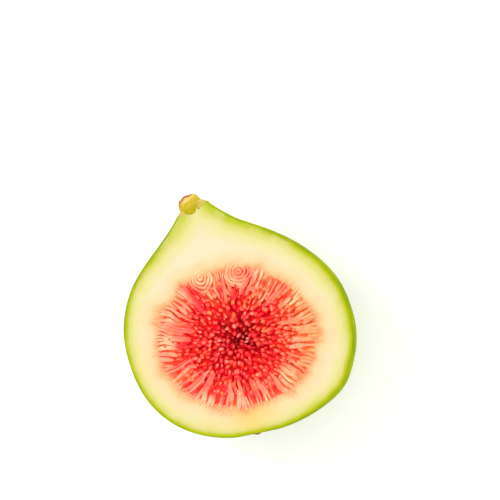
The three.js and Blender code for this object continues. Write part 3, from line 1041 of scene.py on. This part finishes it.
def seed_material():
    finish, bench, surface = new_material("amber_seed")
    place = bench.add("ShaderNodeTexCoord", output=3)
    cloud = bench.noise(place, 900.0, 2.0)
    colour = bench.mix(bench.remap(cloud, 0.35, 0.65), srgb(255, 104, 50), srgb(255, 148, 84))
    colour = bench.mix(bench.remap(bench.stored("tint"), 0.0, 0.7, 0.6, 0.0), colour, srgb(250, 84, 62))
    wet_surface(bench, surface, colour, 0.0001)
    return finish


dress(bed, bed_material())

# %% [markdown]
# Near the top, the knife has met two florets end-on. There the spokes part and run round them, and
# the cut shows rings, like a knot in wood. So the spokes' points are pushed aside from two places, and
# a few wavy rings fill the room.

# %% Plant the florets and keep the result as plain meshes
WHORLS = [(-1.8, 39.3), (7.5, 38.2)]
WHORL_RADIUS = 3.0
WHORL_PUSH_REACH = 1.6
WHORL_RINGS = [(0.5, 0.50), (1.45, 0.47), (2.3, 0.46), (3.1, 0.44)]


def plant(points, floret, finish, name, wobble, wobble_size, trim_spread):
    """Grows a floret on every point and keeps the result as a plain mesh."""
    modifier = points.modifiers.new("plant", "NODES")
    modifier.node_group = PLANTING
    values = {
        "Floret": floret, "Knife height": float(to_frame([0, 0, KNIFE_Z])[2]), "Trim spread": trim_spread,
        "Wobble": wobble, "Wobble size": wobble_size, "Finish": finish,
    }
    for item in PLANTING.interface.items_tree:
        if item.in_out == "INPUT" and item.name in values:
            modifier[item.identifier] = values[item.name]
    bpy.context.view_layer.update()
    evaluated = points.evaluated_get(bpy.context.evaluated_depsgraph_get())
    mesh = bpy.data.meshes.new_from_object(evaluated)
    piece = bpy.data.objects.new(name, mesh)
    bpy.context.scene.collection.objects.link(piece)
    bpy.data.objects.remove(points)
    bpy.data.objects.remove(floret)
    print(name, "has", len(mesh.polygons), "faces")
    return piece


def bend_round_whorls(piece):
    """Moves a piece's points aside where a whorl stands, most at its middle."""
    places = np.empty(3 * len(piece.data.vertices), np.float32)
    piece.data.vertices.foreach_get("co", places)
    places = places.reshape(-1, 3)
    for whorl in WHORLS:
        away = places[:, :2] - to_frame([*whorl, KNIFE_Z])[:2].astype(np.float32)
        distance = np.maximum(np.hypot(*away.T), 1e-6)
        room = WHORL_RADIUS * MM
        pushed = np.sqrt(distance ** 2 + room ** 2 * np.exp(-(distance / (WHORL_PUSH_REACH * room)) ** 2))
        places[:, :2] += away * (pushed / distance - 1)[:, None]
    piece.data.vertices.foreach_set("co", places.reshape(-1))
    piece.data.update()


def make_whorls(finish):
    """Rings of cut tissue round a floret that the knife met end-on."""
    sheets = Sheets()
    turn = np.linspace(0, 2 * math.pi, 61)[:, None]
    tube = np.linspace(0, 2 * math.pi, 11)[None]
    for x, y in WHORLS:
        for ring, thickness in WHORL_RINGS:
            wavy = ring * (1 + 0.09 * np.sin(2 * turn + x) + 0.05 * np.sin(5 * turn + ring))
            swollen = thickness * (1 + 0.08 * np.sin(3 * turn + 5 * ring))
            sunk = 0.40 + 0.06 * np.sin(2 * turn + 4 * ring + x)
            out = wavy + swollen * np.cos(tube)
            z = KNIFE_Z - sunk + swollen * np.sin(tube)
            points = np.stack(np.broadcast_arrays(
                x + 0.9 * out * np.cos(turn), y + out * np.sin(turn), z), axis=2)
            sheets.skin_over(sheets.add_points(points, tint=0.5))
    piece = sheets.build("seed_whorls", merge=1e-6)
    piece.data.materials.append(finish)
    return piece


tips = plant(tip_points, tip_floret, floret_material(), "floret_tips", 0.0011, 700.0, 0.00020)
cut_finish = spoke_material()
spokes = plant(spoke_points, spoke_floret, cut_finish, "cut_florets", 0.0024, 220.0, 0.00025)
bend_round_whorls(spokes)
whorls = make_whorls(cut_finish)
seeds = plant(seed_points, seed_shape, seed_material(), "loose_seeds", 0.0002, 900.0, 0.0001)
for piece in (bed, tips, spokes, whorls, seeds):
    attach(piece, "root")
    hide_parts("pulp")

# %% [markdown]
# The stem stub is what is left where the fig was picked: a short round barrel with a torn end, in dry
# tan and olive. It leans with the neck and rises well towards the cut side, so its end can be seen. A
# turned grid with an uneven radius makes it. Each point stores how high it is on the stub, how far out
# on its end, and how far round to the weathered side, where the rim has gone red-brown.

# %% The stem stub
STUB_RADIUS = 2.7
STUB_LENGTH = 2.7
STUB_RISE = math.radians(28)
STUB_PLACE = np.array([0.3, NECK_RIM_Y + 0.75, 0.8])
STUB_PROFILE = np.array([
    (0.0, -2.7), (0.45, -2.55), (0.8, -1.9), (1.0, -0.9), (1.07, 0.0), (1.05, 0.8), (1.0, 1.5),
    (0.92, 2.1), (0.86, 2.45), (0.77, 2.7), (0.64, 2.6), (0.45, 2.45), (0.25, 2.4), (0.0, 2.4),
])
STUB_END_STARTS = 8.6
WEATHERED_SIDE = math.radians(125)


def on_neck(points, place, climb=0.0):
    """From a part's own frame, where y is its axis, to the fruit's, leaning with the neck."""
    tilt = Matrix.Rotation(NECK_TILT, 3, "Z") @ Matrix.Rotation(climb, 3, "X")
    return np.asarray(points, float) @ np.array(tilt).T + place


def make_stub():
    steps = np.linspace(0, len(STUB_PROFILE) - 1, 90)
    share = np.interp(steps, range(len(STUB_PROFILE)), STUB_PROFILE[:, 0])[:, None]
    height = np.interp(steps, range(len(STUB_PROFILE)), STUB_PROFILE[:, 1])[:, None]
    angle = np.linspace(0, 2 * math.pi, 97)[None]
    uneven = 1 + 0.04 * np.cos(3 * angle + 0.8) + 0.025 * np.cos(5 * angle + 2.1 + 0.5 * height)
    ridges = 0.014 * np.cos(19 * angle + 2 * np.sin(3 * angle)) * np.clip(share * 2 - 1, 0, 1)
    radius = STUB_RADIUS * share * (uneven + ridges)
    x, z = radius * np.cos(angle), -radius * np.sin(angle)
    on_end = np.clip((steps - STUB_END_STARTS) / 2, 0, 1)[:, None]
    crack = np.exp(-((0.5 * x - 0.8 * z) / 0.35) ** 2)
    torn = 0.08 * np.cos(2 * angle + 1) + 0.05 * np.cos(7 * angle) - 0.2 * crack
    top = height + torn * np.clip(2 * (height - 1.9), 0, 1) * np.clip(3 * share, 0, 1)
    points = np.stack(np.broadcast_arrays(x, top, z), axis=2)
    weathered = 0.5 + 0.5 * np.cos(angle - WEATHERED_SIDE)
    sheets = Sheets()
    sheets.skin_over(sheets.add_points(
        on_neck(points, STUB_PLACE, STUB_RISE), high=height / STUB_LENGTH, out=share, on_end=on_end,
        round_turn=angle, weathered=weathered))
    return sheets.build("stem_stub", merge=1e-6)


stub = make_stub()

# %% [markdown]
# Three dry bracts clasp the foot of the stub, like small buttresses on the rim of the neck. Each is a
# pinched cone that droops outwards. They get the same dry finish as the stub, in a paler tan.

# %% The bracts
BRACT_HALF_WIDTH = 1.3
BRACT_HALF_HEIGHT = 1.2
BRACT_DROOP = math.radians(9)
BRACTS = [(66, 2.4, 2.2, 0.7), (180, 1.4, 2.8, 0.4), (293, 2.4, 1.7, 0.25)]
BRACT_PLACE = np.array([0.45, NECK_RIM_Y - 0.2, 1.0])


def make_bracts():
    sheets = Sheets()
    along = np.linspace(0, 1, 26)[:, None]
    angle = np.linspace(0, 2 * math.pi, 33)[None]
    for turn, start, length, lift in BRACTS:
        narrow = (1 - along) ** 0.5
        ripple = 1 + 0.10 * np.cos(4 * angle + turn) + 0.05 * np.cos(9 * angle + 3 * along)
        x = BRACT_HALF_WIDTH * narrow * np.cos(angle) * ripple
        y = BRACT_HALF_HEIGHT * narrow * np.sin(angle) * ripple
        z = length * along + 0 * angle
        droop = Matrix.Rotation(BRACT_DROOP, 3, "X")
        spin = Matrix.Rotation(math.radians(turn), 3, "Y")
        points = np.stack([x, y, z], axis=2) @ np.array(droop).T
        points = (points + np.array([0, lift, start])) @ np.array(spin).T
        rows = sheets.add_points(on_neck(points, BRACT_PLACE), high=0.7, out=0.0, on_end=0.0,
                                 round_turn=angle, weathered=0.0)
        sheets.skin_over(rows)
        sheets.faces.append(rows[0][:-1].tolist())
    return sheets.build("stem_bracts", merge=1e-6)


bracts = make_bracts()

# %% The stem's material
def stem_material(name, foot, end):
    finish, bench, surface = new_material(name)
    place = bench.add("ShaderNodeTexCoord", output=3)
    high = bench.stored("high")
    patches = bench.noise(place, 700.0, 3.0)
    lines = bench.noise(bench.add("ShaderNodeCombineXYZ", {
        0: bench.math("MULTIPLY", bench.stored("round_turn"), 9.0), 1: bench.math("MULTIPLY", high, 1.2),
    }), 1.6, 3.0, 0.65)
    up = bench.math("ADD", high, bench.remap(patches, 0.3, 0.7, -0.12, 0.12))
    colour = bench.mix(bench.remap(up, 0.2, 0.8), foot, end)
    colour = bench.mix(bench.remap(lines, 0.48, 0.75, 0.0, 0.6), colour, srgb(160, 138, 20))
    pith = bench.math("MULTIPLY", bench.stored("on_end"), bench.remap(patches, 0.3, 0.65, 0.5, 1.0))
    colour = bench.mix(pith, colour, srgb(246, 214, 128))
    far_out = bench.remap(bench.stored("out"), 0.34, 0.6)
    near_rim = bench.math("MULTIPLY", bench.remap(high, 0.52, 0.8), far_out)
    brown = bench.math("MULTIPLY", near_rim, bench.remap(bench.stored("weathered"), 0.4, 0.7))
    brown = bench.math("MULTIPLY", brown, bench.remap(patches, 0.25, 0.55, 0.5, 1.0))
    colour = bench.mix(brown, colour, srgb(178, 88, 42))
    colour = with_speck(bench, place, colour)
    height = bench.math("ADD", lines, bench.math("MULTIPLY", bench.noise(place, 2500.0, 3.0), 0.6))
    relief = bench.add("ShaderNodeBump", {"Strength": 0.6, "Distance": 0.00018, "Height": height})
    connect(bench, surface, Base_Color=colour, Normal=relief, Roughness=0.62, Specular_IOR_Level=0.2,
            Subsurface_Weight=0.1, Subsurface_Radius=(0.8, 0.6, 0.2), Subsurface_Scale=0.001)
    return finish


dress(stub, stem_material("dry_stub", srgb(190, 174, 0), srgb(212, 184, 46)))
dress(bracts, stem_material("dry_bracts", srgb(204, 184, 64), srgb(220, 194, 100)))
for piece in (stub, bracts):
    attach(piece, "root")
    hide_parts("stem")

# %% [markdown]
# The eye is the opening at the other end, a small rosette of dry brown scales in overlapping rows. A
# little plug fills the hole in the skin, and each row of scales leans a bit steeper towards the
# rosette's middle.

# %% The eye
EYE_RADIUS = 2.3
EYE_LEVEL = 1.0
EYE_ROWS = [(11, 2.5, 1.7, 0.05, 4), (9, 1.8, 1.45, 0.22, 12), (6, 1.15, 1.15, 0.36, 22)]


def scale_leaf(width, length, thickness):
    """A pointed leaf with a raised middle, lying along +y with its root at 0."""
    along = np.linspace(0, 1, 12)[:, None]
    angle = np.linspace(0, 2 * math.pi, 17)[None]
    half = width / 2 * np.sqrt(np.clip(1 - along ** 2.4, 0, 1))
    x = half * np.cos(angle)
    raised = 0.12 * (half - np.abs(x)) + 0.25 * thickness * along
    z = thickness / 2 * np.sin(angle) * (1 - 0.6 * along) + raised
    return np.stack(np.broadcast_arrays(x, length * along, z), axis=2)


def make_eye():
    sheets = Sheets()
    profile = np.array([(0.0, -0.25), (1.2, -0.2), (2.0, -0.05), (EYE_RADIUS, 0.1), (EYE_RADIUS, 0.8),
                        (0.0, 0.8)])
    angle = np.linspace(0, 2 * math.pi, 49)[None]
    plug = np.stack(np.broadcast_arrays(EYE_X + profile[:, :1] * np.cos(angle), EYE_LEVEL + profile[:, 1:],
                                        EYE_Z + profile[:, :1] * np.sin(angle)), axis=2)
    sheets.skin_over(sheets.add_points(plug, along=0.2, scale_tint=0.2))
    for count, start, length, lift, slope in EYE_ROWS:
        for i in range(count):
            leaf = scale_leaf(1.5 * rng.uniform(0.85, 1.1), length * rng.uniform(0.9, 1.1), 0.32)
            tilt = Matrix.Rotation(math.radians(slope), 3, "X")
            spin = Matrix.Rotation(2 * math.pi * (i + 0.3 * rng.random()) / count, 3, "Z")
            stand = Matrix.Rotation(math.pi / 2, 3, "X")
            points = leaf @ np.array(tilt).T + np.array([0, -start, lift])
            points = points @ np.array(stand @ spin).T + np.array([EYE_X, EYE_LEVEL, EYE_Z])
            rows = sheets.add_points(points, along=np.linspace(0, 1, 12)[:, None], scale_tint=rng.random())
            sheets.skin_over(rows)
            sheets.faces.append(rows[0][:-1].tolist())
    return sheets.build("eye_scales", merge=1e-6)


def eye_material():
    finish, bench, surface = new_material("dry_scales")
    place = bench.add("ShaderNodeTexCoord", output=3)
    patches = bench.noise(place, 1300.0, 4.0, 0.6)
    colour = bench.ramp(bench.stored("along"), [
        (0.0, srgb(90, 62, 22)), (0.45, srgb(150, 98, 46)), (0.8, srgb(196, 140, 70)),
        (1.0, srgb(122, 62, 30)),
    ])
    colour = bench.mix(bench.remap(patches, 0.4, 0.7, 0.0, 0.5), colour, srgb(92, 50, 24))
    pale = bench.remap(bench.stored("scale_tint"), 0.5, 1.0, 0.0, 0.5)
    colour = bench.mix(pale, colour, srgb(205, 160, 84))
    relief = bench.add("ShaderNodeBump", {"Strength": 0.5, "Distance": 0.0002, "Height": patches})
    connect(bench, surface, Base_Color=colour, Normal=relief, Roughness=0.65)
    return finish


eye = make_eye()
dress(eye, eye_material())
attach(eye, "root")
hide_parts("eye")

# %% [markdown]
# The floor is a plain pale sheet, and the light is a bright studio: a white world that fills every
# shadow, one large soft lamp over the fruit's upper left, and a weaker one across from it. The lamps
# give the wet florets their small highlights.

# %% Floor and light
def add_floor():
    mesh = bpy.data.meshes.new("floor")
    half = 1.5
    corners = [(-half, -half, 0), (half, -half, 0), (half, half, 0), (-half, half, 0)]
    mesh.from_pydata(corners, [], [(0, 1, 2, 3)])
    floor = bpy.data.objects.new("floor", mesh)
    bpy.context.scene.collection.objects.link(floor)
    finish, bench, surface = new_material("pale_floor")
    connect(bench, surface, Base_Color=srgb(252, 252, 252), Roughness=0.9,
            Emission_Color=srgb(255, 255, 255), Emission_Strength=0.15)
    dress(floor, finish)


def add_lamp(name, place, power, size):
    light = bpy.data.lights.new(name, "AREA")
    light.energy = power
    light.shape = "DISK"
    light.size = size
    lamp = bpy.data.objects.new(name, light)
    lamp.location = place
    lamp.rotation_euler = (Vector((0, 0, 0.02)) - Vector(place)).to_track_quat("-Z", "Y").to_euler()
    bpy.context.scene.collection.objects.link(lamp)
    print(name, "gives", power, "watts")


add_floor()
add_lamp("key_lamp", (-0.35, 0.35, 0.75), 1.8, 0.35)
add_lamp("fill_lamp", (0.5, -0.2, 0.6), 0.5, 0.4)
world = bpy.data.worlds.new("white_studio")
world.use_nodes = True
world.node_tree.nodes["Background"].inputs["Color"].default_value = (1.0, 1.0, 1.0, 1.0)
world.node_tree.nodes["Background"].inputs["Strength"].default_value = 0.98
bpy.context.scene.world = world
bpy.context.scene.view_settings.view_transform = "Standard"

# %% [markdown]
# In the photo, the stem leans to the left, and a strip of outer skin shows along the right and lower
# right of the cut. So the camera looks down on the cut face, turned by the stem's lean, and tipped
# about ten degrees towards that strip. Its aim follows from one pixel of the photo, where the axis
# passes the belly. A tipped face looks shorter one way, so a slightly longer lens makes up for half of
# that in the picture's size.

# %% Camera
PHOTO_SIDE_PX = 500
MM_PER_PX = 0.2374
BELLY_PX = np.array([223.9, 337.4])
BELLY_POINT = np.array([0.0, 24.0, KNIFE_Z])
STEM_LEAN = math.radians(15.4)
CAMERA_TIP = math.radians(10.1)
TIP_BELOW_RIGHT = math.radians(16.4)
CAMERA_DISTANCE = 0.6
LENS_SENSOR_MM = 36.0

right_way = np.array([math.cos(STEM_LEAN), -math.sin(STEM_LEAN)])
down_way = np.array([-math.sin(STEM_LEAN), -math.cos(STEM_LEAN)])
tip_way = right_way * math.cos(TIP_BELOW_RIGHT) + down_way * math.sin(TIP_BELOW_RIGHT)
to_middle_px = np.array([PHOTO_SIDE_PX / 2, PHOTO_SIDE_PX / 2]) - BELLY_PX
to_middle = (right_way * to_middle_px[0] + down_way * to_middle_px[1]) * MM_PER_PX
to_middle = to_middle + (to_middle @ tip_way) * (1 / math.cos(CAMERA_TIP) - 1) * tip_way
aim_point = Vector(to_frame(BELLY_POINT + np.array([*to_middle, 0.0])))

camera_data = bpy.data.cameras.new("camera")
camera_data.sensor_width = LENS_SENSOR_MM
seen_width = PHOTO_SIDE_PX * MM_PER_PX * MM * math.sqrt(math.cos(CAMERA_TIP))
camera_data.lens = LENS_SENSOR_MM * CAMERA_DISTANCE / seen_width
camera = bpy.data.objects.new("camera", camera_data)
turned = Matrix.Rotation(-STEM_LEAN, 4, "Z")
tipped = Matrix.Rotation(CAMERA_TIP, 4, Vector((-tip_way[1], tip_way[0], 0)))
raised = Matrix.Translation((0, 0, CAMERA_DISTANCE))
camera.matrix_world = Matrix.Translation(aim_point) @ tipped @ turned @ raised
bpy.context.scene.collection.objects.link(camera)
bpy.context.scene.camera = camera
print("camera looks at", [round(v, 4) for v in aim_point], "with a lens of", round(camera_data.lens), "mm")

# %% [markdown]
